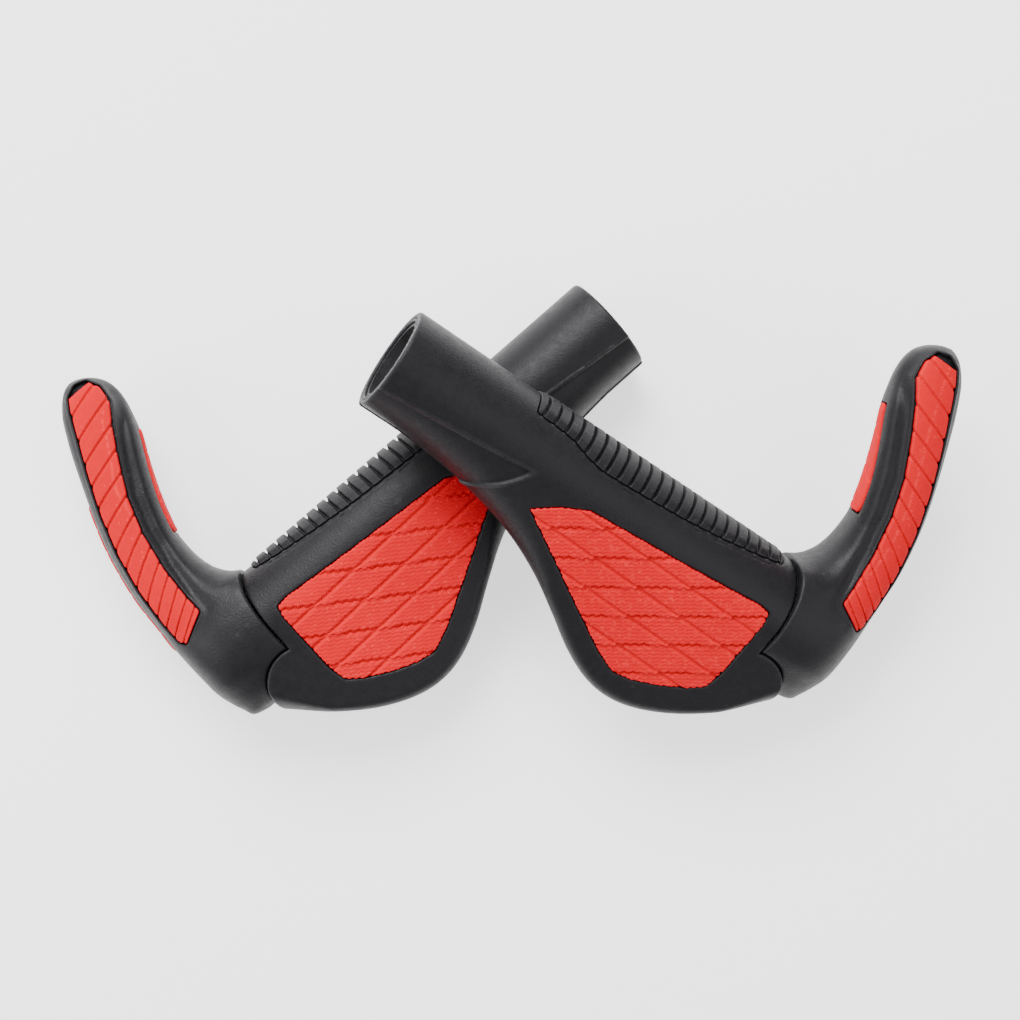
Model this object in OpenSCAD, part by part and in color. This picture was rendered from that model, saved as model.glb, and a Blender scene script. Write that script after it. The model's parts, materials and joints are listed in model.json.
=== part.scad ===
// Pair of ergonomic bar end grips for a flat handlebar.
// Each grip is a sleeve with a wide palm wing. Its horn is a separate piece
// that clamps on the outer end of the bar, next to the grip.
// The pair lies palm side up, crossed, with the right grip on the left one.

/* [Bar fit] */
// Diameter of the handlebar that the grips and clamps fit
bar_d = 22.2; // [22.0:0.1:22.4]
// Wall of the hard inner tube of a grip
core_wall = 1.3; // [1.1:0.1:1.6]
// Outer diameter of the hard clamp ring of a horn
ring_d = 30.4; // [30:0.2:31]

/* [Grip] */
// Outer diameter of a grip at its open inner end
tube_d = 30.7; // [30.4:0.1:31]
// Diameter of the round part of a grip next to its horn
root_d = 32.4; // [32:0.2:33]
// How far the palm face falls towards the wing edge, in degrees
palm_tilt = 12; // [11:0.5:13]
// Radius of the rounded edge of the wing
edge_r = 4.2; // [3.8:0.1:4.6]
// Hollow of the finger side of the wing
finger_hollow = 2.4; // [0:0.2:3]

/* [Inserts] */
// Depth of the palm pad in its pocket
pad_t = 1.8; // [1.4:0.1:2.2]
// How far the palm pad stands proud of the rubber
pad_proud = 0.5; // [0.2:0.1:0.8]
// Number of ribs on the finger strip
rib_n = 21; // [15:1:24]
// Height of each rib
rib_h = 0.9; // [0.5:0.1:1.2]

/* [Horn] */
// Radius of the rounded base of a horn around the bar
base_r = 17.3; // [17:0.1:17.8]
// Gap at the joint between grip and horn
seam_gap = 0.4; // [0.35:0.05:0.6]
// How far the horn inlays stand proud of the rubber
inlay_proud = 0.3; // [0.1:0.1:0.6]

/* [Placement] */
// Turn of the left grip on the table, in degrees
left_yaw = 41.4; // [40.8:0.1:42]
// Turn of the right grip on the table, in degrees
right_yaw = -33.3; // [-33.8:0.1:-32.8]
// Height of the right grip's axis at its open end
right_lift = 57.9; // [57.9:0.1:58.7]

/* [Hidden] */
$fn = 48;
bar_r = bar_d / 2;
core_r = bar_r + core_wall;
ring_r = ring_d / 2;
tube_r = tube_d / 2;
root_r = root_d / 2;
st = sin(palm_tilt);
ct = cos(palm_tilt);

black = [0.10, 0.10, 0.11];
ribc = [0.17, 0.17, 0.18];
red = [0.93, 0.20, 0.18];
nylon = [0.30, 0.31, 0.33];
steel = [0.72, 0.73, 0.75];

// ---- curve helpers ----
// Catmull-Rom blend of four values
function cr(a, b, c, d, t) = 0.5 * (2*b + (c - a)*t + (2*a - 5*b + 4*c - d)*t*t + (3*b - a - 3*c + d)*t*t*t);
// point of a list of points at a fractional index
function along(p, u) = let(n = len(p) - 1, i = min(floor(u), n - 1), t = u - i)
  cr(p[max(i - 1, 0)], p[i], p[i + 1], p[min(i + 2, n)], t);
// the whole list, k steps to each span
function smooth(p, k) = [for (i = [0 : (len(p) - 1) * k]) along(p, i / k)];
// a list drawn in towards its middle by d
function middle(p) = [for (k = [0, 1]) let(s = [for (q = p) q[k]]) (max(s) + min(s)) / 2];
function inset(p, d) = let(c = middle(p)) [for (q = p) let(v = q - c, l = norm(v)) c + v * (l - d) / l];
// side faces and ends of a stack of m closed rings of n points
function skin_faces(m, n) = concat(
  [for (i = [0 : m - 2], j = [0 : n - 1]) let(k = (j + 1) % n) [i*n + j, i*n + k, (i + 1)*n + k]],
  [for (i = [0 : m - 2], j = [0 : n - 1]) let(k = (j + 1) % n) [i*n + j, (i + 1)*n + k, (i + 1)*n + j]],
  [[for (j = [n - 1 : -1 : 0]) j]],
  [[for (j = [0 : n - 1]) (m - 1)*n + j]]);
module skin(rings) {
  n = len(rings[0]);
  polyhedron(points = [for (r = rings, p = r) p], faces = skin_faces(len(rings), n), convexity = 8);
}

// ---- grip body ----
// reach of the wing behind the bar axis, along the bar
wing_pts = [[-0.5, 14.6], [25, 16.2], [42, 18.6], [55, 22], [67, 27.2], [78, 33.8], [89, 40.8],
            [99, 45.2], [108, 46.3], [117, 44.4], [127, 39.4], [137, 31.8], [147, 22.2], [155, 15.4]];
function round_r(x) = tube_r + (root_r - tube_r) * pow(max(x, 0) / 133, 2);
// straight cone under the rib strip
function strip_r(x) = round_r(38) + (round_r(130) - round_r(38)) * (x - 38) / 92;

// one cross section of the grip, grown by g
function section(x, e, g) =
  let(r = round_r(x) + g,
      reach = max(e + g, r + 0.06),
      rc = max(edge_r + g, r - 0.75 * (reach - r)),
      yc = rc - reach,
      zc = (r - rc + st * yc) / ct,
      psi = atan2(zc, yc),
      a0 = 90 + palm_tilt,
      a1 = 2 * psi - a0,
      hollow = finger_hollow * min(1, (reach - r) / 20),
      n1 = 22, n2 = 7, n3 = 7)
  concat(
    [for (i = [0 : n1]) let(a = a0 + (a1 - 360 - a0) * i / n1) [x, r * cos(a), r * sin(a)]],
    [for (i = [1 : n2 - 1]) let(t = i / n2, h = hollow * pow(sin(180 * t), 2),
        y = (1 - t) * r * cos(a1) + t * (yc + rc * cos(a1)),
        z = (1 - t) * r * sin(a1) + t * (zc + rc * sin(a1)))
      [x, y - h * cos(a1), z - h * sin(a1)]],
    [for (i = [0 : n3]) let(a = a1 + (a0 - a1) * i / n3) [x, yc + rc * cos(a), zc + rc * sin(a)]],
    []);
module grip_shape(g = 0) {
  pts = smooth(wing_pts, 2);
  skin([for (p = pts) section(p[0], p[1], g)]);
}

// joint line between grip and horn, seen from the palm side
seam_pts = [[127.5, 26], [129.4, 18], [131.2, 13.6], [132.6, 8], [133.3, 0], [133.4, -12]];
lobe_c = [136.5, -20.5];
lobe_r = 10.8;
module grip_side(g = 0) {
  line = smooth(seam_pts, 3);
  translate([0, 0, -45]) linear_extrude(90)
    polygon(concat([[-20, 40], [127.5 + g, 40]], [for (p = line) [p[0] + g, p[1]]], [[133.4 + g, -70], [-20, -70]]));
  translate([0, 0, -7 - g]) linear_extrude(60)
    union() {
      translate(lobe_c) circle(r = lobe_r + g);
      translate([110, -70]) square([lobe_c[0] + lobe_r + g - 110, 70 + lobe_c[1]]);
    }
}

// outline of the palm pad
pad_pts = [[53.5, -11.8], [60, -6.7], [67.5, -2.8], [80, -1.9], [97, -0.7], [112, 0.5], [124, 1.6], [127.6, 1.2],
           [128.3, -2], [128.4, -12], [128.4, -22], [127.2, -27.2], [122.6, -30.8], [115, -34.8], [108.5, -37.4],
           [103.2, -38.4], [96, -35.8], [87, -30.8], [76, -24.6], [66, -18.8]];
// the pad's floor follows the palm face, which falls to the wing and rises to the horn
face_slope = (round_r(128) - round_r(53)) / 75;
module pad_area(d) {
  rotate([palm_tilt, 0, 0]) translate([0, 0, round_r(53) - 53 * face_slope - pad_t + 0.1]) rotate([0, -atan(face_slope), 0])
    translate([0, 0, d / 2]) linear_extrude(12) polygon([for (p = inset(pad_pts, d)) [p[0], p[1] * 1.022 + 3.27]]);
}

// outline of the rib strip, from the palm side
strip_pts = [[40.2, 30], [40.2, 11.3], [43, 11], [47, 11], [53, 10.5], [59, 8.8], [64, 8], [70, 8.2], [80, 8.8],
             [92, 9.6], [105, 11], [118, 12.9], [125.6, 14.2], [127, 16], [126.6, 30]];
module strip_area(d) {
  translate([0, 0, -9 + d]) linear_extrude(30 - d) polygon(inset(strip_pts, d));
}
module along_x(x0, x1, r0, r1) {
  translate([x0, 0, 0]) rotate([0, 90, 0]) cylinder(h = x1 - x0, r1 = r0, r2 = r1, $fn = 96);
}

module inner_core() {
  difference() {
    union() {
      along_x(0.8, 131, core_r, core_r);
      // web that stiffens the wing
      rotate([palm_tilt, 0, 0]) translate([0, 0, 6]) linear_extrude(2.2)
        polygon([[62, -8], [66, -15], [84, -27], [98, -35], [110, -38], [122, -33], [128, -26], [129, -12], [129, -8]]);
    }
    along_x(-1, 134, bar_r, bar_r);
  }
}

module grip_sleeve() {
  difference() {
    intersection() {
      grip_shape();
      grip_side();
      translate([0, -60, -40]) cube([160, 120, 80]);
    }
    // room for the hard core
    along_x(-1, 134, core_r, core_r);
    rotate([palm_tilt, 0, 0]) translate([0, 0, 6]) linear_extrude(2.2)
      polygon([[62, -8], [66, -15], [84, -27], [98, -35], [110, -38], [122, -33], [128, -26], [129, -12], [129, -8]]);
    // the clamp ring turns under the lobe
    along_x(133, 170, ring_r + 0.4, ring_r + 0.4);
    // pocket of the palm pad
    pad_area(0);
    // pocket of the rib strip
    difference() {
      strip_area(0);
      along_x(-2, 150, strip_r(-2) - 1.5, strip_r(150) - 1.5);
    }
  }
}

module palm_pad() {
  intersection() {
    grip_shape(pad_proud);
    pad_area(0.12);
  }
}

module rib_strip() {
  pitch = 82 / rib_n;
  intersection() {
    difference() {
      union() {
        along_x(38, 130, strip_r(38), strip_r(130));
        for (i = [0 : rib_n - 1]) let(x = 43.2 + i * pitch)
          along_x(x, x + 0.55 * pitch, strip_r(x) + rib_h, strip_r(x) + rib_h);
      }
      along_x(36, 132, strip_r(36) - 1.44, strip_r(132) - 1.44);
    }
    strip_area(0.12);
  }
}

// ---- horn ----
// stations from behind the bar to the tip: across, forward, half width, half height
horn_pts = [[148.6, -18.9, 3, 2.4], [146.2, -17.4, 9, 7], [141, -14.6, 15, 10.6], [139.4, -11, 18.4, 13.2],
            [139.3, -6, 19.8, 16.2], [139.3, 0, 20.1, 17.3], [139.5, 6, 20.1, 16.7], [140.5, 11, 19.3, 15.2],
            [142.8, 15, 16.9, 14], [145.7, 18.6, 13.7, 13.3], [147.1, 22.4, 12.1, 12.7], [147.9, 30, 10.9, 11.9],
            [146.7, 42, 10.2, 10.9], [143.4, 53, 10.2, 10.3], [138.6, 64, 10.8, 9.9], [134.3, 74, 10.7, 9.3],
            [131.3, 82.4, 9.6, 8.6]];
tip_len = 9.4;
function sgn_pow(v, p) = sign(v) * pow(abs(v), p);
function horn_ring(c, dir, a, b) = let(n = 28)
  [for (i = [0 : n - 1]) let(t = 360 * i / n, u = a * sgn_pow(cos(t), 0.76), w = b * sgn_pow(sin(t), 0.8))
    [c[0] + u * dir[1], c[1] - u * dir[0], w]];
function unit(v) = v / norm(v);
// the stations next to the bar all face forward
function horn_dir(p, i) = let(a = p[max(i - 1, 0)], b = p[min(i + 1, len(p) - 1)], d = unit([b[0] - a[0], b[1] - a[1]]),
  k = min(1, max(0, (p[i][1] - 20) / 16))) unit([d[0] * k, 1 - k + d[1] * k]);
module horn_shape(g = 0) {
  p = smooth(horn_pts, 2);
  n = len(p) - 1;
  e = p[n];
  de = horn_dir(p, n);
  skin(concat(
    [for (i = [0 : n]) horn_ring([p[i][0], p[i][1] - (i < 2 ? g : 0)], horn_dir(p, i), p[i][2] + g, p[i][3] + g)],
    [for (t = [20, 40, 58, 73, 85]) horn_ring([e[0] + de[0] * (tip_len + g) * sin(t), e[1] + de[1] * (tip_len + g) * sin(t)],
      de, (e[2] + g) * pow(cos(t), 0.8), (e[3] + g) * pow(cos(t), 0.8))]));
}
module clamp_boss() {
  // rounded housing of the clamp screw under the bar
  translate([146.5, -12.4, -13.7]) rotate([-90, 0, 0]) cylinder(h = 23.8, r = 6.4, $fn = 64);
}

spine_pts = [[139, 9], [156, 9], [155.4, 24], [153.6, 36], [150, 50], [144.6, 64], [139.4, 77], [131.6, 76.4],
             [134.4, 66], [138.6, 52], [141.6, 38], [142.2, 26]];
module arm_spine(g = 0) {
  translate([0, 0, -5 - g]) linear_extrude(10 + 2 * g) polygon(inset(spine_pts, -g));
}
screw_x = 146.5;
screw_z = -14.7;
module screw_line(y0, y1, r) {
  translate([screw_x, y0, screw_z]) rotate([-90, 0, 0]) cylinder(h = y1 - y0, r = r);
}
// clamp ring, from x0, with a bevelled closed outer end
module clamp_solid(x0 = 134.2) {
  along_x(x0, 149, ring_r, ring_r);
  along_x(149, 155, ring_r, bar_r + 0.5);
  // ears on both sides of the slit
  translate([screw_x, -8, -13.9]) rotate([-90, 0, 0]) cylinder(h = 16.6, r = 5.6, $fn = 64);
  translate([screw_x - 5, -8, -14]) cube([10, 16.6, 8]);
}
module horn_core() {
  difference() {
    union() {
      clamp_solid();
      arm_spine();
    }
    along_x(130, 153.2, bar_r, bar_r);
    // slit that lets the ring close
    translate([133, -0.9, -30]) cube([19.8, 1.8, 30]);
    screw_line(-20, 20, 2.7);
    // flat seats of the washer and the nut
    translate([screw_x - 6, -20, -30]) cube([12, 14.2, 20]);
    screw_line_hex(4.6, 12);
  }
}
module screw_line_hex(y0, y1) {
  translate([screw_x, y0, screw_z]) rotate([-90, 0, 0]) cylinder(h = y1 - y0, r = 8.1 / sqrt(3), $fn = 6);
}

module horn_cover() {
  difference() {
    union() {
      horn_shape();
      clamp_boss();
    }
    grip_side(seam_gap);
    // clamp ring and the way in for the bar
    clamp_solid(120);
    arm_spine();
    // room and key access of the clamp screw
    screw_line(-30, 10.2, 4.8);
    // pockets of the inlays
    top_area(0);
    inner_area(0);
    outer_area(0);
  }
}

// outlines of the horn inlays, from the palm side
top_pts = [[154.9, 8.8], [156.4, 11], [156.3, 20], [155.3, 31], [153.1, 43], [149.3, 55], [144.2, 67], [139.3, 77.3],
           [134.9, 84.2], [130.4, 87], [126.8, 84.4], [126.4, 79], [129.8, 72.6], [135, 63.4], [140.1, 53.4],
           [143.5, 43], [145.5, 31], [145.8, 20], [145.3, 12.6]];
// the inlay's floor falls towards the tip
module top_area(d) {
  translate([0, 10, 13.6]) rotate([-5.2, 0, 0]) translate([0, -10, d / 2]) linear_extrude(12) polygon(inset(top_pts, d));
}
inner_pts = [[116, 68], [126.2, 68.6], [128.6, 66], [133.5, 57], [137.3, 45], [139.2, 38.4], [138, 36], [116, 36]];
module inner_area(d) { translate([0, 0, -5.6 + d]) linear_extrude(9 - 2 * d) polygon(inset(inner_pts, d)); }
outer_pts = [[170, 9], [158, 9], [157.8, 14], [157, 24], [154.9, 38], [151, 51], [148.7, 57], [150, 61], [170, 61]];
module outer_area(d) { translate([0, 0, -4 + d]) linear_extrude(7 - 2 * d) polygon(inset(outer_pts, d)); }

module horn_top_inlay() {
  intersection() { horn_shape(inlay_proud); top_area(0.12); }
}
module horn_inner_inlay() {
  intersection() { horn_shape(inlay_proud + 0.1); inner_area(0.12); }
}
module horn_outer_inlay() {
  intersection() { horn_shape(inlay_proud + 0.1); outer_area(0.12); }
}

// ---- clamp screw ----
module clamp_bolt() {
  difference() {
    union() {
      screw_line(-11.95, -6.95, 4.25);
      screw_line(-6.96, 9.6, 2.5);
    }
    // hexagon socket
    translate([screw_x, -12.5, screw_z]) rotate([-90, 0, 0]) cylinder(h = 3.3, r = 4 / sqrt(3), $fn = 6);
  }
}
module clamp_washer() {
  difference() {
    screw_line(-6.8, -5.8, 4.5);
    screw_line(-8, -4, 2.85);
  }
}
module clamp_nut() {
  difference() {
    translate([screw_x, 4.7, screw_z]) rotate([-90, 0, 0]) cylinder(h = 3.9, r = 8 / sqrt(3), $fn = 6);
    screw_line(0, 10, 2.85);
  }
}

// ---- placement ----
left_rot = [-0.05, 1.85, left_yaw];
left_pos = [31.03, 52.07, 15.38];
right_rot = [7.09, 14.55, right_yaw];
right_pos = [-31.44, 38.09, right_lift];
module on_left() { translate(left_pos) rotate(left_rot) mirror([1, 0, 0]) children(); }
module on_right() { translate(right_pos) rotate(right_rot) children(); }

module left_inner_core() { color(nylon) on_left() inner_core(); }
module left_grip_sleeve() { color(black) on_left() grip_sleeve(); }
module left_palm_pad() { color(red) on_left() palm_pad(); }
module left_rib_strip() { color(ribc) on_left() rib_strip(); }
module left_horn_core() { color(nylon) on_left() horn_core(); }
module left_horn_cover() { color(black) on_left() horn_cover(); }
module left_horn_top_inlay() { color(red) on_left() horn_top_inlay(); }
module left_horn_inner_inlay() { color(red) on_left() horn_inner_inlay(); }
module left_horn_outer_inlay() { color(red) on_left() horn_outer_inlay(); }
module left_clamp_bolt() { color(steel) on_left() clamp_bolt(); }
module left_clamp_washer() { color(steel) on_left() clamp_washer(); }
module left_clamp_nut() { color(steel) on_left() clamp_nut(); }
module right_inner_core() { color(nylon) on_right() inner_core(); }
module right_grip_sleeve() { color(black) on_right() grip_sleeve(); }
module right_palm_pad() { color(red) on_right() palm_pad(); }
module right_rib_strip() { color(ribc) on_right() rib_strip(); }
module right_horn_core() { color(nylon) on_right() horn_core(); }
module right_horn_cover() { color(black) on_right() horn_cover(); }
module right_horn_top_inlay() { color(red) on_right() horn_top_inlay(); }
module right_horn_inner_inlay() { color(red) on_right() horn_inner_inlay(); }
module right_horn_outer_inlay() { color(red) on_right() horn_outer_inlay(); }
module right_clamp_bolt() { color(steel) on_right() clamp_bolt(); }
module right_clamp_washer() { color(steel) on_right() clamp_washer(); }
module right_clamp_nut() { color(steel) on_right() clamp_nut(); }

left_inner_core();
left_grip_sleeve();
left_palm_pad();
left_rib_strip();
left_horn_core();
left_horn_cover();
left_horn_top_inlay();
left_horn_inner_inlay();
left_horn_outer_inlay();
left_clamp_bolt();
left_clamp_washer();
left_clamp_nut();
right_inner_core();
right_grip_sleeve();
right_palm_pad();
right_rib_strip();
right_horn_core();
right_horn_cover();
right_horn_top_inlay();
right_horn_inner_inlay();
right_horn_outer_inlay();
right_clamp_bolt();
right_clamp_washer();
right_clamp_nut();
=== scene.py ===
import bpy, json, math
import numpy as np
from mathutils import Matrix, Vector

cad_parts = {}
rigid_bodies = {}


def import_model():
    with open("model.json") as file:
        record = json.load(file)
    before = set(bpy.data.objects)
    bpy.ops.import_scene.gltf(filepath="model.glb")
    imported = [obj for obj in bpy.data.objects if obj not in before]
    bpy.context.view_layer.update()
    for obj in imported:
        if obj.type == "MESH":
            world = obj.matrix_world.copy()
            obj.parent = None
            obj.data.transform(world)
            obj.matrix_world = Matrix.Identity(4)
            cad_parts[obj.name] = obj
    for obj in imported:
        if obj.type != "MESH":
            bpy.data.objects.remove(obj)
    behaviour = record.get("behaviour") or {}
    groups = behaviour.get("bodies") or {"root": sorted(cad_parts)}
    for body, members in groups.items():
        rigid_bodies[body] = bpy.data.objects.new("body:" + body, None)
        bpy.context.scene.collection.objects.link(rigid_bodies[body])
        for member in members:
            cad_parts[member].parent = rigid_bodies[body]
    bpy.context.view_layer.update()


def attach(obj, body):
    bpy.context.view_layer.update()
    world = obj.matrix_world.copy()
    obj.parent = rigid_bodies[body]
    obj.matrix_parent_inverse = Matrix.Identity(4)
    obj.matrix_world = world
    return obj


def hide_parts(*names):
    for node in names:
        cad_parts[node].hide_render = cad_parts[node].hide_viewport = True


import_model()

MM = 0.001

# ------------------------------------------------------------------ placement
def rot(rx, ry, rz):
    rx, ry, rz = np.radians([rx, ry, rz])
    c, s = np.cos, np.sin
    X = np.array([[1, 0, 0], [0, c(rx), -s(rx)], [0, s(rx), c(rx)]])
    Y = np.array([[c(ry), 0, s(ry)], [0, 1, 0], [-s(ry), 0, c(ry)]])
    Z = np.array([[c(rz), -s(rz), 0], [s(rz), c(rz), 0], [0, 0, 1]])
    return Z @ Y @ X

SIDES = {
    "left": (rot(-0.05, 1.85, 41.4), np.array([31.03, 52.07, 15.38]), -1.0),
    "right": (rot(7.09, 14.55, -33.3), np.array([-31.44, 38.09, 57.9]), 1.0),
}

# ------------------------------------------------------------------ curves
def smooth_curve(pts, k=24):
    p = np.array(pts, float)
    n = len(p) - 1
    out = []
    for i in range(n):
        a, b, c, d = p[max(i - 1, 0)], p[i], p[i + 1], p[min(i + 2, n)]
        for j in range(k):
            t = j / k
            out.append(0.5 * (2 * b + (c - a) * t + (2 * a - 5 * b + 4 * c - d) * t * t + (3 * b - a - 3 * c + d) * t ** 3))
    out.append(p[-1])
    return np.array(out)

def lut(pts, k=24):
    c = smooth_curve(pts, k)
    o = np.argsort(c[:, 0], kind="stable")
    xs, ys = c[o, 0], c[o, 1]
    return lambda v: np.interp(v, xs, ys)

def sstep(a, b, v):
    t = np.clip((v - a) / (b - a), 0, 1)
    return t * t * (3 - 2 * t)

def smin(a, b, k):
    h = np.maximum(k - np.abs(a - b), 0) / k
    return np.minimum(a, b) - h * h * k * 0.25

def smax(a, b, k):
    return -smin(-a, -b, k)

class Field2:
    """signed distance to a closed outline, sampled on a grid"""
    def __init__(self, poly, h=0.25, pad=8.0, soft=0):
        p = np.array(poly, float)
        self.h = h
        self.lo = p.min(0) - pad
        n = np.ceil((p.max(0) + pad - self.lo) / h).astype(int) + 1
        X, Y = np.meshgrid(self.lo[0] + h * np.arange(n[0]), self.lo[1] + h * np.arange(n[1]), indexing="ij")
        d = np.full(X.shape, 1e9)
        ins = np.zeros(X.shape, bool)
        for a, b in zip(p, np.roll(p, -1, 0)):
            e = b - a
            L = (e * e).sum()
            if L < 1e-12:
                continue
            t = np.clip(((X - a[0]) * e[0] + (Y - a[1]) * e[1]) / L, 0, 1)
            d = np.minimum(d, (X - a[0] - t * e[0]) ** 2 + (Y - a[1] - t * e[1]) ** 2)
            c = (a[1] > Y) != (b[1] > Y)
            with np.errstate(divide="ignore", invalid="ignore"):
                xi = (b[0] - a[0]) * (Y - a[1]) / (b[1] - a[1] + 1e-30) + a[0]
            ins ^= c & (X < xi)
        d = np.sqrt(d)
        d[ins] *= -1
        for _ in range(soft):
            q = np.pad(d, 1, mode="edge")
            d = (q[1:-1, 1:-1] * 4 + (q[:-2, 1:-1] + q[2:, 1:-1] + q[1:-1, :-2] + q[1:-1, 2:]) * 2
                 + q[:-2, :-2] + q[2:, 2:] + q[:-2, 2:] + q[2:, :-2]) / 16
        self.d = d
    def __call__(self, x, y):
        u = np.clip((x - self.lo[0]) / self.h, 0, self.d.shape[0] - 1.001)
        v = np.clip((y - self.lo[1]) / self.h, 0, self.d.shape[1] - 1.001)
        i, j = u.astype(np.int32), v.astype(np.int32)
        u, v = u - i, v - j
        d = self.d
        return (d[i, j] * (1 - u) + d[i + 1, j] * u) * (1 - v) + (d[i, j + 1] * (1 - u) + d[i + 1, j + 1] * u) * v

# ------------------------------------------------------------------ mesher
def nets(f, lo, hi, h, iters=3):
    lo, hi = np.array(lo, float), np.array(hi, float)
    n = np.ceil((hi - lo) / h).astype(int) + 1
    ax = [lo[k] + h * np.arange(n[k]) for k in range(3)]
    F = np.empty(tuple(n), np.float32)
    step = max(1, int(1.2e6 // (n[1] * n[2])))
    for i in range(0, n[0], step):
        X, Y, Z = np.meshgrid(ax[0][i:i + step], ax[1], ax[2], indexing="ij")
        F[i:i + step] = f(X, Y, Z)
    S = F < 0
    m = n - 1
    cnt = np.zeros(tuple(m), np.int8)
    for a in (0, 1):
        for b in (0, 1):
            for c in (0, 1):
                cnt += S[a:a + m[0], b:b + m[1], c:c + m[2]]
    act = (cnt > 0) & (cnt < 8)
    I, J, K = np.nonzero(act)
    idx = np.full(tuple(m), -1, np.int32)
    idx[I, J, K] = np.arange(len(I), dtype=np.int32)
    P = np.zeros((len(I), 3))
    W = np.zeros(len(I))
    for axis in range(3):
        o = [k for k in range(3) if k != axis]
        for b in (0, 1):
            for c in (0, 1):
                off = [0, 0, 0]
                off[o[0]], off[o[1]] = b, c
                off2 = list(off)
                off2[axis] = 1
                v0 = F[I + off[0], J + off[1], K + off[2]]
                v1 = F[I + off2[0], J + off2[1], K + off2[2]]
                s = (v0 < 0) != (v1 < 0)
                t = np.where(s, v0 / np.where(s, v0 - v1, 1), 0)
                q = np.zeros((len(I), 3))
                q[:, axis] = t
                q[:, o[0]] = b
                q[:, o[1]] = c
                P += q * s[:, None]
                W += s
    P /= W[:, None]
    P = lo + h * (np.stack([I, J, K], 1) + P)
    quads = []
    for axis in range(3):
        o = [k for k in range(3) if k != axis]
        A = np.take(S, range(0, n[axis] - 1), axis)
        B = np.take(S, range(1, n[axis]), axis)
        g = np.argwhere(A != B)
        g = g[(g[:, o[0]] > 0) & (g[:, o[0]] < n[o[0]] - 1) & (g[:, o[1]] > 0) & (g[:, o[1]] < n[o[1]] - 1)]
        inside = A[g[:, 0], g[:, 1], g[:, 2]]
        def cell(db, dc):
            q = g.copy()
            q[:, o[0]] -= db
            q[:, o[1]] -= dc
            return idx[q[:, 0], q[:, 1], q[:, 2]]
        q = np.stack([cell(1, 1), cell(0, 1), cell(0, 0), cell(1, 0)], 1)
        flip = inside if axis != 1 else ~inside
        q[~flip] = q[~flip][:, ::-1]
        quads.append(q)
    Q = np.concatenate(quads)
    e = h * 0.25
    for it in range(iters):
        v = f(P[:, 0], P[:, 1], P[:, 2])
        G = np.stack([f(P[:, 0] + e * (k == 0), P[:, 1] + e * (k == 1), P[:, 2] + e * (k == 2)) -
                      f(P[:, 0] - e * (k == 0), P[:, 1] - e * (k == 1), P[:, 2] - e * (k == 2)) for k in range(3)], 1) / (2 * e)
        gg = np.maximum((G * G).sum(1), 0.3)
        D = -(v / gg)[:, None] * G
        L = np.linalg.norm(D, axis=1)
        D *= (np.minimum(L, 0.45 * h) / np.maximum(L, 1e-9))[:, None]
        P = P + D
    return P, Q

def make_mesh(name, P, Q, tris=None):
    me = bpy.data.meshes.new(name)
    me.vertices.add(len(P))
    me.vertices.foreach_set("co", np.ascontiguousarray(P, np.float32).ravel())
    me.loops.add(4 * len(Q))
    me.loops.foreach_set("vertex_index", np.ascontiguousarray(Q, np.int32).ravel())
    me.polygons.add(len(Q))
    me.polygons.foreach_set("loop_start", np.arange(0, 4 * len(Q), 4, dtype=np.int32))
    me.polygons.foreach_set("use_smooth", np.ones(len(Q), bool))
    me.update(calc_edges=True)
    me.validate()
    return me

# ------------------------------------------------------------------ grip shape (local frame of the right grip, mm)
TUBE_R, ROOT_R, EDGE_R, TILT = 15.35, 16.2, 4.2, math.radians(12)
ST, CT = math.sin(TILT), math.cos(TILT)
wing = lut([[-0.5, 14.6], [25, 16.2], [42, 18.6], [55, 22], [67, 27.2], [78, 33.8], [89, 40.8], [99, 45.2], [108, 46.3],
            [117, 44.4], [127, 39.4], [137, 31.8], [147, 22.2], [155, 15.4]])

def round_r(x):
    return TUBE_R + (ROOT_R - TUBE_R) * (np.maximum(x, 0) / 133.0) ** 2

def strip_r(x):
    """straight cone under the rib strip"""
    a, b = TUBE_R + 0.85 * (38 / 133) ** 2, TUBE_R + 0.85 * (130 / 133) ** 2
    return a + (b - a) * (x - 38) / 92.0

def grip_sdf(x, y, z):
    r = round_r(x)
    reach = np.maximum(wing(x), r + 0.06)
    rc = np.maximum(EDGE_R, r - 0.75 * (reach - r))
    yc = rc - reach
    zc = (r - rc + ST * yc) / CT
    h = np.sqrt(yc * yc + zc * zc)
    ay, az = yc / h, zc / h            # along the wing
    ny, nz = az, -ay                   # towards the palm face
    q = y * ay + z * az
    s = y * ny + z * nz
    b = (r - rc) / h
    a = np.sqrt(np.maximum(1 - b * b, 1e-6))
    p = np.abs(s)
    k = -b * p + a * q
    d = np.where(k < 0, np.sqrt(p * p + q * q) - r,
                 np.where(k > a * h, np.sqrt(p * p + (q - h) ** 2) - rc, p * a + q * b - r))
    t = np.clip(k / (a * h), 0, 1)
    grow = np.minimum(1, (reach - r) / 20)
    d = d + np.where(s < 0, 2.4, -0.25) * np.sin(np.pi * t) ** 2 * grow
    return d

seam_line = lut([[26, 127.5], [18, 129.4], [13.6, 131.2], [8, 132.6], [0, 133.3], [-12, 133.4], [-60, 133.4]][::-1])
LOBE = (136.5, -20.5, 10.8)

def seam_sdf(x, y, z):
    """negative on the grip's side of the joint"""
    d = np.maximum((x - seam_line(y)) * 0.98, y - 40)
    lobe = np.sqrt((x - LOBE[0]) ** 2 + (y - LOBE[1]) ** 2) - LOBE[2]
    tail = np.maximum(x - (LOBE[0] + LOBE[2]), y - LOBE[1])
    lobe = np.minimum(lobe, tail)
    lobe = np.maximum(lobe, -7 - z)
    return np.minimum(d, lobe)

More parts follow.
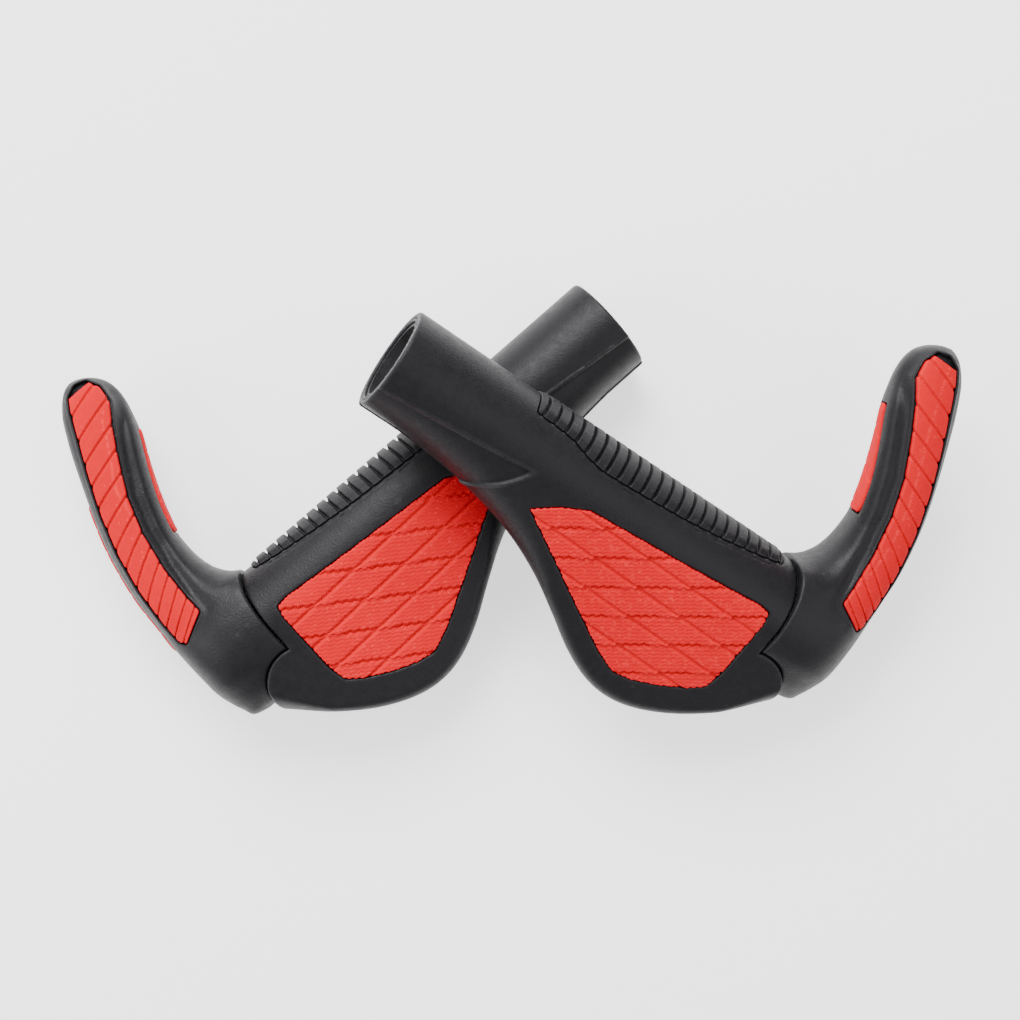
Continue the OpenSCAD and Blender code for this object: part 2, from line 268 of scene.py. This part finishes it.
PAD = [[53.5, -11.8], [60, -6.7], [67.5, -2.8], [80, -1.9], [97, -0.7], [112, 0.5], [124, 1.6], [127.6, 1.2],
       [128.3, -2], [128.4, -12], [128.4, -22], [127.2, -27.2], [122.6, -30.8], [115, -34.8], [108.5, -37.4],
       [103.2, -38.4], [96, -35.8], [87, -30.8], [76, -24.6], [66, -18.8]]
STRIP = [[40.2, 40], [40.2, 11.3], [43, 11], [47, 11], [53, 10.5], [59, 8.8], [64, 8], [70, 8.2], [80, 8.8],
         [92, 9.6], [105, 11], [118, 12.9], [125.6, 14.2], [127, 16], [126.6, 40]]
pad_plan = Field2(PAD, soft=3)
def pad2(u, v):
    """outline of the pad, v measured in the plane of the palm face"""
    return pad_plan(u, (v - 3.27) / 1.022)
strip2 = Field2(STRIP, soft=2)

def palm_uvw(x, y, z):
    """along the bar, across the palm face and out of it, measured from the face"""
    v = y * CT + z * ST
    w = -y * ST + z * CT
    return x, v, w - round_r(x)

def sleeve_sdf(x, y, z):
    d = grip_sdf(x, y, z)
    rad = np.sqrt(y * y + z * z)
    ang = np.arctan2(z, y)
    # arrow-shaped flat on the palm side of the tube
    yl = -7.2 + 4.1 * np.clip(x / 46.6, 0, 1.05)
    lo = -5.3 - (48.0 - x) * 0.96
    inside = smax(smax(y - yl, (lo - y) * 0.75, 0.8), (x - 47.2) * 0.84 - (y + 4.2) * 0.5, 1.2)
    flat = np.where(z > 0, np.clip(inside, -6, 2), 2)
    d = d + 0.6 * sstep(0.3, -0.35, flat) - 0.34 * np.exp(-((flat - 0.35) / 0.42) ** 2)
    # open end, slightly stepped
    d = smax(d, 0.0 - x, 0.9)
    d = smax(d, 12.4 - rad, 0.25)
    d = np.maximum(d, -np.maximum(np.abs(rad - 13.3) - 0.16, x - 0.4))
    # joint
    d = smax(d, seam_sdf(x, y, z), 0.8)
    d = smax(d, -np.maximum(rad - 15.6, 133 - x), 0.4)
    # pocket of the pad
    u, v, w = palm_uvw(x, y, z)
    pk = np.maximum(pad2(u, v) - 0.16, -w - 1.75)
    d = smax(d, -pk, 0.45)
    # pocket of the strip, with the step that runs along its lower edge
    sk = np.maximum(strip2(x, y) - 0.12, strip_r(x) - 1.5 - rad)
    sk = np.maximum(sk, -9.1 - z)
    d = smax(d, -sk, 0.35)
    edge = strip2(x, y)
    line = np.maximum(np.abs(edge - 1.15) - 0.12, np.maximum(-z, np.maximum(56 - x, x - 122)))
    d = np.maximum(d, -np.maximum(line, r_in(x, rad)))
    return d

def r_in(x, rad):
    return round_r(x) - 0.3 - rad

# palm pad -------------------------------------------------------------------
A1 = math.radians(34.5)
def pad_height(u, v):
    v = (v - 3.27) / 1.022
    s = u * math.cos(A1) + v * math.sin(A1)
    t = -u * math.sin(A1) + v * math.cos(A1)
    wob = 0.26 * (2 * np.abs(2 * (s / 2.5 - np.floor(s / 2.5)) - 1) - 1) + 0.05 * np.sin(2 * np.pi * s / 0.97 + 1.3)
    row = (-45.5 - t - wob) / 8.9
    fr = row - np.floor(row)
    ridx = np.floor(row)
    dv = (-4.4 - v - 0.02 * (u - 60)) / 8.55
    dfr = dv - np.round(dv)
    dline = np.abs(dfr) * 8.55
    # rows step down like shingles towards the wing edge
    hrow = 0.42 * np.power(fr, 1.3)
    near = np.minimum(fr, 1 - fr) * 8.9
    gap = sstep(0.9, 2.0, np.abs(dfr * 8.55 - 1.4))
    g1 = 0.78 * np.exp(-(near / 0.5) ** 2) * gap
    hide = sstep(0.2, 0.9, np.minimum(fr * 8.9, (1 - fr) * 8.9))
    g2 = 0.72 * np.exp(-(dline / 0.48) ** 2) * hide
    fine = 0.06 * np.sin(2 * np.pi * (t + 0.16 * np.sin(2 * np.pi * s / 2.3)) / 1.12)
    return 0.2 + hrow - g1 - g2 + fine

def pad_sdf(u, v, w):
    s = u * math.cos(A1) + v * math.sin(A1)
    e = pad2(u, v) + 0.08 + 0.16 * np.sin(2 * np.pi * s / 1.9) * np.sin(2 * np.pi * (u - v) / 3.1)
    # forward of the flat face the pad follows the round of the tube
    r = round_r(u)
    drop = np.where(v > 0, r - np.sqrt(np.maximum(r * r - v * v, 1)), 0)
    top = (w + drop) - pad_height(u, v)
    d = smax(top * 0.92, e, 0.35)
    return np.maximum(d, -1.7 - w)

# rib strip ------------------------------------------------------------------
RIB_P = 3.9
def strip_sdf(x, y, z):
    rad = np.sqrt(y * y + z * z)
    ang = np.arctan2(z, y)
    e = strip2(x, y) + 0.1
    # ribs lean a little as they go round the tube
    xx = x + 1.6 * np.sin(ang * 1.2) ** 2 * np.sign(ang) - 43.0
    fr = xx / RIB_P
    fr = fr - np.floor(fr)
    near = np.minimum(fr, 1 - fr) * RIB_P
    top = 1.35 * sstep(0.14, 0.66, near) - 0.4
    env = sstep(0, 2.2, -e)
    top = top * (0.35 + 0.65 * env) + 0.1 * (fr - 0.5)
    d = smax(rad - (strip_r(x) + top), e, 0.3)
    d = np.maximum(d, strip_r(x) - 1.44 - rad)
    return np.maximum(d, -8.9 - z)

# horn -----------------------------------------------------------------------
h_in = lut([[-18.9, 146.2], [-17.5, 137.2], [-14.6, 126], [-11, 121], [-6, 119.5], [0, 119.2], [6, 119.4], [11, 121.1],
            [15, 125.8], [18.6, 132], [22.4, 135.1], [26, 136.5], [30, 137.2], [35, 137.3], [39, 136.8], [47.7, 134.2],
            [57.9, 130.1], [67.5, 125.5], [74, 123.4], [78, 122.5], [82, 122.3], [85.5, 123.1], [88.4, 125.2], [90.6, 128.2], [91.8, 131.2]])
h_out = lut([[-18.9, 150.6], [-17.5, 155], [-14.6, 156.4], [-11, 157.8], [-6, 159.1], [0, 159.5], [11, 159.8], [18.6, 159.4],
             [22.4, 159.2], [30, 158.8], [39, 157.4], [48, 155.3], [57, 152.3], [66, 148.8], [74, 145.5], [80, 142.7], [84.6, 140.2],
             [88.4, 137.2], [90.6, 134.6], [91.8, 132.1]])
h_b = lut([[-18.9, 2.4], [-17.5, 6.6], [-14.6, 10.6], [-11, 13.4], [-6, 16.3], [0, 17.3], [6, 16.8], [11, 15.4], [15, 14.2],
           [18.6, 13.4], [22.4, 12.7], [30, 11.9], [42, 10.9], [53, 10.3], [64, 9.9], [74, 9.3], [80, 8.7], [85.6, 7.6],
           [89.2, 5.7], [90.7, 3.9], [91.8, 1.2]])

def horn_raw(x, y, z):
    xi, xo, b = h_in(y), h_out(y), h_b(y)
    xc, a = (xi + xo) / 2, np.maximum((xo - xi) / 2, 0.3)
    dx = x - xc
    p = 2.5
    F = (np.abs(dx / a) ** p + np.abs(z / b) ** p) ** (1 / p)
    rho = np.sqrt(dx * dx + z * z)
    rf = np.where(F > 1e-4, rho / np.maximum(F, 1e-4), np.minimum(a, b))
    d = (rho - rf) * 0.94
    d = smax(d, y - 91.8, 0.8)
    return smax(d, -18.9 - y, 0.8)

TOP = [[154.7, 10.4], [156.2, 12.6], [156.2, 20], [155.3, 31], [153.1, 43], [149.3, 55], [144.2, 67], [139.3, 77.3],
       [136.6, 83.2], [134.2, 87.4], [130.6, 89.2], [127.2, 88.2], [125.2, 84.2], [125.7, 79], [129.8, 72.6], [135, 63.4], [140.1, 53.4],
       [143.5, 43], [145.5, 31], [145.8, 21], [145.4, 15]]
INNER = [[110, 68], [126.2, 68.6], [128.6, 66], [133.5, 57], [137.3, 45.5], [138.7, 40.8], [137.6, 38.4], [110, 38.4]]
OUTER = [[175, 11.5], [158, 11.5], [157.8, 16], [157, 24], [154.9, 38], [151, 51], [148.7, 57], [150, 61], [175, 61]]
top2, inner2, outer2 = Field2(TOP, soft=5), Field2(INNER, soft=3), Field2(OUTER, soft=3)
valley_line = lut([[12, 143.5], [20, 141.8], [30, 141.3], [40, 139.9], [50, 136.9], [60, 133.3], [70, 129.8], [80, 127.6]])

inlay_mid = lut([[6, 150.5], [20, 150.7], [31, 150.1], [43, 148], [55, 144], [67, 138.2], [77, 133], [84, 130.8], [92, 129.5]])

def horn_form(x, y, z):
    d = horn_raw(x, y, z)
    up = sstep(-1, 5, z)
    e = top2(x, y)
    inner = sstep(1.5, -1.5, x - inlay_mid(y))
    # hollow that runs along the inner side of the top inlay, with a rounded rail beyond it
    depth = 1.45 * sstep(4, 30, y) * sstep(90, 78, y)
    d = d + depth * np.exp(-((e - 2.2) / 2.0) ** 2) * up * inner
    # low lip along the inner side of the top inlay
    d = d - 0.30 * np.exp(-((e - 0.75) / 0.45) ** 2) * sstep(0, 4, z) * sstep(8, 30, y)
    return d

def boss_sdf(x, y, z):
    r = np.sqrt((x - 146.5) ** 2 + (z + 13.7) ** 2) - 6.4
    return smax(r, np.abs(y + 0.5) - 11.9, 1.6)

def shell_of(d, e, inward, proud):
    return smax(smax(d - proud, -(d + inward), 0.25), e, 0.35)

def spine_box(x, y, z):
    return np.maximum(spine2(x, y), np.abs(z) - 5)
SPINE = [[139, 9], [156, 9], [155.4, 24], [153.6, 36], [150, 50], [144.6, 64], [139.4, 77], [131.6, 76.4],
         [134.4, 66], [138.6, 52], [141.6, 38], [142.2, 26]]
spine2 = Field2(SPINE)

def clamp_room(x, y, z):
    rad = np.sqrt(y * y + z * z)
    ring = np.maximum(rad - np.minimum(15.2, 15.2 - (x - 149) * 0.6), np.maximum(120 - x, x - 155))
    ears = np.maximum(np.sqrt((x - 146.5) ** 2 + (z + 13.9) ** 2) - 5.6, np.maximum(-8 - y, y - 8.6))
    ears = np.minimum(ears, np.maximum(np.maximum(np.abs(x - 146.5) - 5, np.maximum(-8 - y, y - 8.6)), np.maximum(z + 6, -14 - z)))
    screw = np.maximum(np.sqrt((x - 146.5) ** 2 + (z + 14.7) ** 2) - 4.8, y - 10.2)
    return np.minimum(np.minimum(ring, ears), np.minimum(screw, spine_box(x, y, z)))

def inner_half(y):
    """half height of the inner inlay, slimmer towards its tip"""
    return 4.4 - 2.2 * sstep(44, 68, y)

def cover_sdf(x, y, z):
    d = smin(horn_form(x, y, z), boss_sdf(x, y, z), 5.0)
    d = smax(d, -(seam_sdf(x, y, z) - 0.4), 0.8)
    up = np.maximum(top2(x, y) - 0.28, 2 - z)
    d = smax(d, -np.maximum(up, -(horn_raw(x, y, z) + 1.5)), 0.4)
    ii = np.maximum(inner2(x, y) - 0.2, np.abs(z + 1.1) - inner_half(y) - 0.3)
    d = smax(d, -np.maximum(ii, -(horn_raw(x, y, z) + 1.4)), 0.4)
    oo = np.maximum(outer2(x, y) - 0.2, np.abs(z + 0.5) - 3.7)
    d = smax(d, -np.maximum(oo, -(horn_raw(x, y, z) + 1.4)), 0.4)
    return smax(d, -clamp_room(x, y, z), 0.3)

groove_y = np.array([7.5, 11.6, 15.6, 19.6, 23.8, 28.2, 32.8, 37.8, 43.0, 48.4, 54.0, 59.8, 65.6, 71.6, 77.6, 83.6, 89.0])
def top_sdf(x, y, z):
    e = top2(x, y) + 0.05
    # grooves lean outwards and back, less so near the tip
    inner = valley_line(y) + 5.2
    tilt = 0.66 - 0.36 * sstep(25, 60, y)
    yy = y + (x - inner) * tilt
    k = np.interp(yy, groove_y, np.arange(len(groove_y)))
    fr = k - np.floor(k)
    pitch = 5.2
    near = np.minimum(fr, 1 - fr) * pitch
    cut = 0.62 * np.exp(-(near / 0.34) ** 2)
    saw = 0.3 * (0.5 - fr)
    e2 = e + 0.28 * np.exp(-(near / 0.5) ** 2)
    d = horn_raw(x, y, z) - (0.28 + saw * 0.9 - cut)
    d = smax(d, e2, 0.5)
    d = np.maximum(d, -(horn_raw(x, y, z) + 1.42))
    return np.maximum(d, 2 - z)

def inner_sdf(x, y, z):
    near = np.abs((y * 1.0 + z * 0.5) % 11.0 - 5.5)
    half = inner_half(y)
    d = horn_raw(x, y, z) - 0.38 + 0.3 * np.exp(-(near / 0.35) ** 2)
    d = smax(d, smax(inner2(x, y) + 0.06, np.abs(z + 1.1) - half, 2.0), 0.8)
    return np.maximum(d, -(horn_raw(x, y, z) + 1.34))

def outer_sdf(x, y, z):
    near = np.abs((y * 1.0 - z * 0.6) % 7.0 - 3.5)
    d = horn_raw(x, y, z) - 0.5 + 0.3 * np.exp(-(near / 0.35) ** 2)
    d = smax(d, smax(outer2(x, y) + 0.06, np.abs(z + 0.5) - 3.4, 2.0), 1.0)
    return np.maximum(d, -(horn_raw(x, y, z) + 1.34))

# ------------------------------------------------------------------ materials
def new_mat(name):
    m = bpy.data.materials.new(name)
    m.use_nodes = True
    nt = m.node_tree
    nt.nodes.clear()
    out = nt.nodes.new("ShaderNodeOutputMaterial")
    b = nt.nodes.new("ShaderNodeBsdfPrincipled")
    nt.links.new(b.outputs[0], out.inputs[0])
    return m, nt, b

def node(nt, kind, **kw):
    n = nt.nodes.new(kind)
    for k, v in kw.items():
        if k in n.inputs.keys():
            n.inputs[k].default_value = v
        else:
            setattr(n, k, v)
    return n

def ramp(nt, fac, stops):
    r = nt.nodes.new("ShaderNodeValToRGB")
    el = r.color_ramp.elements
    while len(el) < len(stops):
        el.new(0.5)
    for e, (p, c) in zip(el, stops):
        e.position = p
        e.color = (*c, 1) if len(c) == 3 else (c[0], c[0], c[0], 1)
    nt.links.new(fac, r.inputs[0])
    return r.outputs[0]

def bumps(nt, b, coord, layers):
    prev = None
    for tex, dist, strength in layers:
        bp = node(nt, "ShaderNodeBump", Strength=strength, Distance=dist)
        nt.links.new(tex, bp.inputs["Height"])
        if prev is not None:
            nt.links.new(prev, bp.inputs["Normal"])
        prev = bp.outputs[0]
    nt.links.new(prev, b.inputs["Normal"])

def rubber(name, c0, c1, edge, rough, grain=2600, grain_d=0.00012, sheen=0.0, spec=0.3):
    m, nt, b = new_mat(name)
    tc = nt.nodes.new("ShaderNodeTexCoord").outputs["Object"]
    big = node(nt, "ShaderNodeTexNoise", Scale=38.0, Detail=3.0, Roughness=0.55)
    mid = node(nt, "ShaderNodeTexNoise", Scale=420.0, Detail=5.0, Roughness=0.6)
    fine = node(nt, "ShaderNodeTexNoise", Scale=float(grain), Detail=2.0)
    cell = node(nt, "ShaderNodeTexVoronoi", Scale=float(grain) * 0.6)
    for t in (big, mid, fine, cell):
        nt.links.new(tc, t.inputs["Vector"])
    mix = node(nt, "ShaderNodeMix", data_type="FLOAT")
    mix.inputs[0].default_value = 0.5
    nt.links.new(big.outputs[0], mix.inputs[2])
    nt.links.new(mid.outputs[0], mix.inputs[3])
    col = ramp(nt, mix.outputs[0], [(0.3, c0), (0.72, c1)])
    # convex edges, found by pointiness and broken up by noise, get the lighter edge colour mixed in
    geo = nt.nodes.new("ShaderNodeNewGeometry")
    convex_edge_mask = ramp(nt, geo.outputs["Pointiness"], [(0.50, (0, 0, 0)), (0.60, (1, 1, 1))])
    sp = node(nt, "ShaderNodeMath", operation="MULTIPLY")
    nt.links.new(convex_edge_mask, sp.inputs[0])
    nt.links.new(mid.outputs[0], sp.inputs[1])
    mc = node(nt, "ShaderNodeMix", data_type="RGBA")
    nt.links.new(sp.outputs[0], mc.inputs[0])
    nt.links.new(col, mc.inputs[6])
    mc.inputs[7].default_value = (*edge, 1)
    nt.links.new(mc.outputs[2], b.inputs["Base Color"])
    rr = node(nt, "ShaderNodeMapRange")
    rr.inputs[1].default_value, rr.inputs[2].default_value = 0.3, 0.7
    rr.inputs[3].default_value, rr.inputs[4].default_value = rough[0], rough[1]
    nt.links.new(mid.outputs[0], rr.inputs[0])
    nt.links.new(rr.outputs[0], b.inputs["Roughness"])
    b.inputs["IOR"].default_value = 1.5
    b.inputs["Specular IOR Level"].default_value = spec
    b.inputs["Sheen Weight"].default_value = sheen
    b.inputs["Sheen Roughness"].default_value = 0.5
    bumps(nt, b, tc, [(cell.outputs[0], grain_d, 0.35), (fine.outputs[0], grain_d, 0.5), (mid.outputs[0], grain_d * 1.2, 0.25)])
    return m

def metal(name, c, rough):
    m, nt, b = new_mat(name)
    tc = nt.nodes.new("ShaderNodeTexCoord").outputs["Object"]
    mp = node(nt, "ShaderNodeMapping")
    mp.inputs["Scale"].default_value = (1, 1, 14)
    nt.links.new(tc, mp.inputs[0])
    n1 = node(nt, "ShaderNodeTexNoise", Scale=900.0, Detail=4.0)
    n2 = node(nt, "ShaderNodeTexNoise", Scale=120.0, Detail=3.0)
    nt.links.new(mp.outputs[0], n1.inputs["Vector"])
    nt.links.new(tc, n2.inputs["Vector"])
    nt.links.new(ramp(nt, n2.outputs[0], [(0.3, tuple(v * 0.8 for v in c)), (0.7, c)]), b.inputs["Base Color"])
    rr = node(nt, "ShaderNodeMapRange")
    rr.inputs[3].default_value, rr.inputs[4].default_value = rough[0], rough[1]
    nt.links.new(n1.outputs[0], rr.inputs[0])
    nt.links.new(rr.outputs[0], b.inputs["Roughness"])
    b.inputs["Metallic"].default_value = 1.0
    bumps(nt, b, tc, [(n1.outputs[0], 0.00005, 0.4)])
    return m

BLACK = rubber("black_rubber", (0.0062, 0.0060, 0.0076), (0.0100, 0.0097, 0.0120), (0.026, 0.025, 0.029), (0.40, 0.52), spec=0.24)
RIB = rubber("rib_rubber", (0.0055, 0.0054, 0.0068), (0.0086, 0.0084, 0.0102), (0.024, 0.023, 0.027), (0.48, 0.60), spec=0.22)
RED = rubber("red_rubber", (0.60, 0.003, 0.010), (0.70, 0.006, 0.014), (0.85, 0.03, 0.035), (0.60, 0.74), grain=3200, grain_d=0.00015, spec=0.05)
NYLON = rubber("grey_nylon", (0.006, 0.0062, 0.007), (0.010, 0.0102, 0.0112), (0.03, 0.03, 0.032), (0.45, 0.6), grain=1800, spec=0.2)
STEEL = metal("bolt_steel", (0.36, 0.365, 0.38), (0.22, 0.42))

# ------------------------------------------------------------------ build the pieces once, then place both hands
def palm_to_xyz(P):
    u, v, w = P[:, 0], P[:, 1], P[:, 2] + round_r(P[:, 0])
    return np.stack([u, v * CT - w * ST, v * ST + w * CT], 1)

Q = 1.0
PIECES = []
def build(piece, f, lo, hi, h, post=None):
    P, F = nets(f, lo, hi, h * Q)
    if post is not None:
        P = post(P)
    PIECES.append((piece, P, F))

build("grip_sleeve", sleeve_sdf, (-1, -49, -18), (149.5, 18.5, 18.5), 0.42)
build("palm_pad", pad_sdf, (51, -38.5, -2.6), (131, 7, 1.6), 0.24, palm_to_xyz)
build("rib_strip", strip_sdf, (38, 5, -10), (129, 18.4, 15), 0.26)
build("horn_cover", cover_sdf, (120.4, -20.6, -21.6), (162, 93.8, 18.8), 0.4)
build("horn_top_inlay", top_sdf, (124.5, 6.5, 3), (158.8, 87, 17), 0.24)
build("horn_inner_inlay", inner_sdf, (122, 34, -7), (141, 71, 4.8), 0.24)
build("horn_outer_inlay", outer_sdf, (146, 1, -5.5), (162.5, 63, 4.5), 0.24)

MATS = {"grip_sleeve": BLACK, "palm_pad": RED, "rib_strip": RIB, "horn_cover": BLACK, "horn_top_inlay": RED,
        "horn_inner_inlay": RED, "horn_outer_inlay": RED}
BODY = {"grip_sleeve": "grip", "palm_pad": "grip", "rib_strip": "grip"}
for side, (R, T, m) in SIDES.items():
    for piece, P, F in PIECES:
        W = (P * [m, 1, 1]) @ R.T + T
        F2 = F if m > 0 else F[:, ::-1]
        me = make_mesh(side + "_" + piece + "_skin", W * MM, F2)
        ob = bpy.data.objects.new(side + "_" + piece + "_skin", me)
        bpy.context.scene.collection.objects.link(ob)
        me.materials.append(MATS[piece])
        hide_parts(side + "_" + piece)
        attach(ob, side + "_" + BODY.get(piece, "horn"))

for name, ob in [(o.name, o) for o in bpy.data.objects]:
    for key, mat in (("inner_core", NYLON), ("horn_core", NYLON), ("clamp_bolt", STEEL), ("clamp_washer", STEEL), ("clamp_nut", STEEL)):
        if name in ("left_" + key, "right_" + key):
            if not ob.material_slots:
                ob.data.materials.append(mat)
            for s in ob.material_slots:
                s.material = mat

# ------------------------------------------------------------------ floor, light and camera
def plane(name, size, z):
    me = bpy.data.meshes.new(name)
    s = size / 2
    me.from_pydata([(-s, -s, z), (s, -s, z), (s, s, z), (-s, s, z)], [], [(0, 1, 2, 3)])
    o = bpy.data.objects.new(name, me)
    bpy.context.scene.collection.objects.link(o)
    return o

floor = plane("floor", 6.0, -0.0002)
fm, nt, b = new_mat("pale_floor")
b.inputs["Base Color"].default_value = (0.93, 0.93, 0.93, 1)
b.inputs["Roughness"].default_value = 0.9
b.inputs["Specular IOR Level"].default_value = 0.1
b.inputs["Emission Color"].default_value = (1, 1, 1, 1)
b.inputs["Emission Strength"].default_value = 1.3
floor.data.materials.append(fm)

w = bpy.data.worlds.new("studio") if bpy.context.scene.world is None else bpy.context.scene.world
bpy.context.scene.world = w
w.use_nodes = True
w.node_tree.nodes["Background"].inputs[0].default_value = (1, 1, 1, 1)
w.node_tree.nodes["Background"].inputs[1].default_value = 0.55

def area(name, loc, target, size, power, col=(1, 1, 1)):
    l = bpy.data.lights.new(name, "AREA")
    l.energy = power
    l.size = size
    l.color = col
    o = bpy.data.objects.new(name, l)
    bpy.context.scene.collection.objects.link(o)
    o.location = loc
    o.rotation_euler = (Vector(target) - Vector(loc)).to_track_quat("-Z", "Y").to_euler()
    return o

area("key", (-0.25, 0.75, 0.85), (0, 0, 0.02), 0.7, 24)
area("fill", (0.65, -0.25, 0.7), (0, 0, 0.02), 0.6, 2.5)
area("side", (-0.7, -0.15, 0.5), (0, 0, 0.02), 0.5, 4)

cam_d = bpy.data.cameras.new("camera")
cam = bpy.data.objects.new("camera", cam_d)
bpy.context.scene.collection.objects.link(cam)
cam.location = (0.00149, -0.00339, 0.54000)
cam.rotation_euler = (0, 0, 0)
cam_d.sensor_width = 36
cam_d.lens = 62.24
cam_d.clip_start = 0.01
bpy.context.scene.camera = cam
